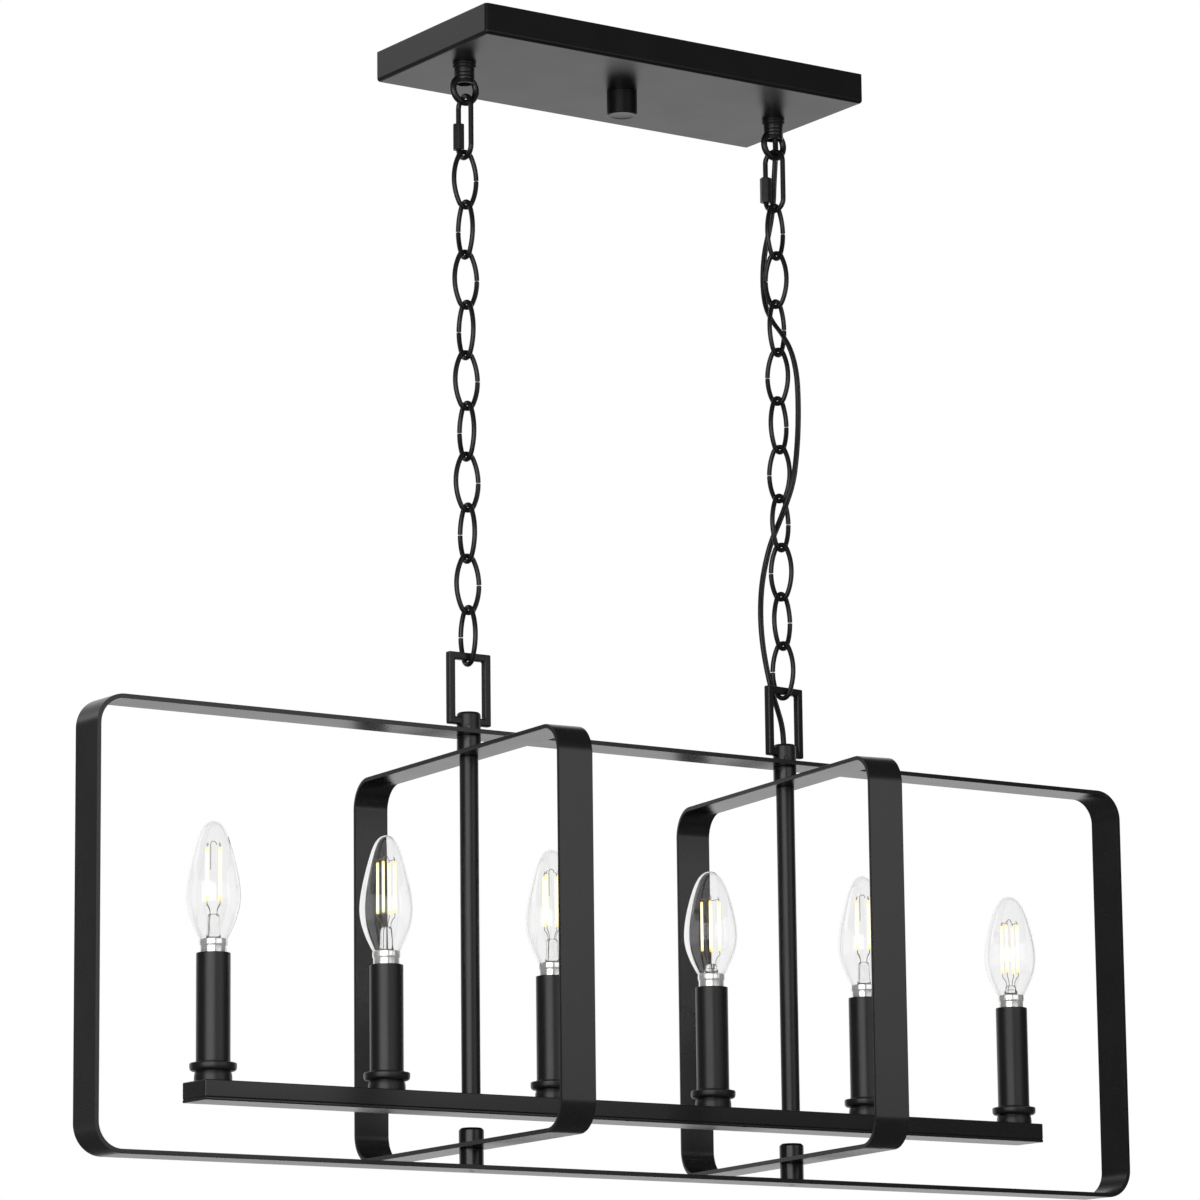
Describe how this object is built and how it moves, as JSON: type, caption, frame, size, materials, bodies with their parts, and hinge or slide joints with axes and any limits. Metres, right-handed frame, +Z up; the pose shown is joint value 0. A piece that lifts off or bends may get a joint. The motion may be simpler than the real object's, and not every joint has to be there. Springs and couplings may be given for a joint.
{
  "type": "linear island pendant",
  "caption": "Open rectangular strap-frame pendant with a row of candle lamps on a bar, hung level from a flat ceiling canopy by two chains.",
  "frame": {"origin": "on the ceiling plane, at the middle of the crossbar", "axes": "+X along the long frame, +Y away from the viewer, +Z up"},
  "size_m": [0.836, 0.285, 0.7699],
  "materials": {
    "black_steel": "satin black powder coat",
    "candle_black": "satin black sleeve",
    "zinc_steel": "zinc plated",
    "green_screw": "green coated earth screw",
    "nickel": "bright nickel plate",
    "socket_resin": "black phenolic",
    "clear_glass": "clear blown glass",
    "filament": "lit filament sticks on a glass mount",
    "black_cord": "black cord jacket",
    "ground_sheath": "thin dark sheath"
  },
  "bodies": {
    "ceiling_mount": {"canopy": "black_steel", "crossbar": "zinc_steel", "crossbar_nipple": "zinc_steel", "crossbar_locknut": "zinc_steel", "ground_screw": "green_screw", "cap_nut": "black_steel", "loop_washers": "zinc_steel", "loop_locknuts": "zinc_steel", "canopy_loop_left": "black_steel", "canopy_loop_right": "black_steel"},
    "quick_links": {"quick_link_left": "black_steel", "quick_link_right": "black_steel", "sleeve_nut_left": "black_steel", "sleeve_nut_right": "black_steel"},
    "upper_chain_left": {"chain_left": "black_steel"},
    "upper_chain_right": {"chain_right": "black_steel", "power_cord": "black_cord", "ground_wire": "ground_sheath"},
    "lower_link_left": {"end_link_left": "black_steel"},
    "lower_link_right": {"end_link_right": "black_steel"},
    "fixture": {"long_frame": "black_steel", "upper_spacers": "black_steel", "lower_spacers": "black_steel", "lower_caps": "black_steel", "lower_screws": "black_steel", "candle_bar": "black_steel", "bar_cover": "black_steel", "bar_locknuts": "zinc_steel", "candle_nipples": "zinc_steel", "candle_cups": "black_steel", "candle_sleeves": "candle_black", "lamp_sockets": "socket_resin", "bulb_bases": "nickel", "bulb_glass": "clear_glass", "bulb_filaments": "filament", "stem_upper_nipples": "zinc_steel", "stem_lower_nipples": "zinc_steel", "hanging_loop_left": "black_steel", "hanging_loop_right": "black_steel", "grub_screw_left": "black_steel", "grub_screw_right": "black_steel", "stem_left": "black_steel", "stem_right": "black_steel"},
    "cross_left": {"cross_frame_left": "black_steel"},
    "cross_right": {"cross_frame_right": "black_steel"}
  },
  "joints": [
    {"name": "swing", "type": "hinge", "parent": "ceiling_mount", "child": "quick_links", "pos_m": [0, 0, -0.0481], "axis": [1, 0, 0], "range_deg": [-10, 10]},
    {"name": "sway", "type": "hinge", "parent": "quick_links", "child": "upper_chain_right", "pos_m": [0.13, 0, -0.08655], "axis": [0, 1, 0], "range_deg": [-10, 10], "deforming": ["power_cord", "ground_wire"]},
    {"name": "sway_left", "type": "hinge", "parent": "quick_links", "child": "upper_chain_left", "pos_m": [-0.13, 0, -0.08655], "axis": [0, 1, 0], "range_deg": [-12, 12]},
    {"name": "level_right", "type": "hinge", "parent": "upper_chain_right", "child": "lower_link_right", "pos_m": [0.13, 0, -0.39595], "axis": [0, 1, 0], "range_deg": [-12, 12]},
    {"name": "level_left", "type": "hinge", "parent": "upper_chain_left", "child": "lower_link_left", "pos_m": [-0.13, 0, -0.39595], "axis": [0, 1, 0], "range_deg": [-12, 12]},
    {"name": "rock", "type": "hinge", "parent": "lower_link_right", "child": "fixture", "pos_m": [0, 0, -0.42955], "axis": [1, 0, 0], "range_deg": [-8, 8]},
    {"name": "turn_left", "type": "hinge", "parent": "fixture", "child": "cross_left", "pos_m": [-0.13, 0, -0.6246], "axis": [0, 0, 1], "range_deg": [-15, 15]},
    {"name": "turn_right", "type": "hinge", "parent": "fixture", "child": "cross_right", "pos_m": [0.13, 0, -0.6246], "axis": [0, 0, 1], "range_deg": [-15, 15]}
  ],
  "couplings": [
    {"joint": "sway_left", "follows": "sway", "ratio": 1},
    {"joint": "level_right", "follows": "sway", "ratio": -1},
    {"joint": "level_left", "follows": "sway", "ratio": -1}
  ]
}
